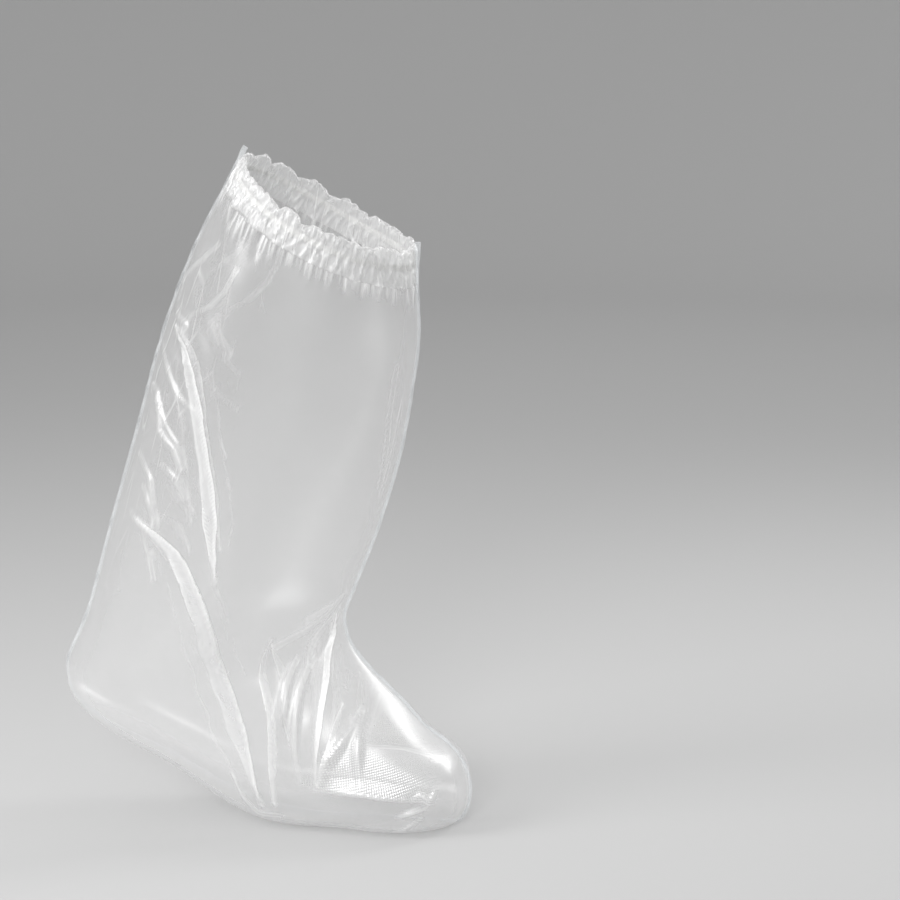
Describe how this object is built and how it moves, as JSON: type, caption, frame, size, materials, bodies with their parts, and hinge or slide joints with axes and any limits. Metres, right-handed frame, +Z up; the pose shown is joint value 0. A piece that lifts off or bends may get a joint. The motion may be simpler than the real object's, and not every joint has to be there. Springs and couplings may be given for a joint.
{
  "type": "disposable boot cover",
  "caption": "Knee-high disposable boot cover of milky see-through plastic film, welded edge to edge from side panels, with an elastic hem that gathers the leg opening.",
  "frame": {"origin": "centre of the leg opening, on the plane of the rim", "axes": "+X to the toe, +Z up, -Y to the outer side; the weld lies in the plane y = 0"},
  "size_m": [0.3403, 0.146, 0.5445],
  "materials": {
    "film": "milky see-through polyethylene film with a fine embossed dot, soft gloss",
    "weld": "two films melted together, clearer and finely ribbed",
    "elastic": "white narrow elastic, ribbed"
  },
  "bodies": {
    "root": {"outer_panel": "film", "inner_panel": "film", "weld_seam": "weld", "top_casing": "film", "elastic": "elastic"}
  },
  "joints": []
}
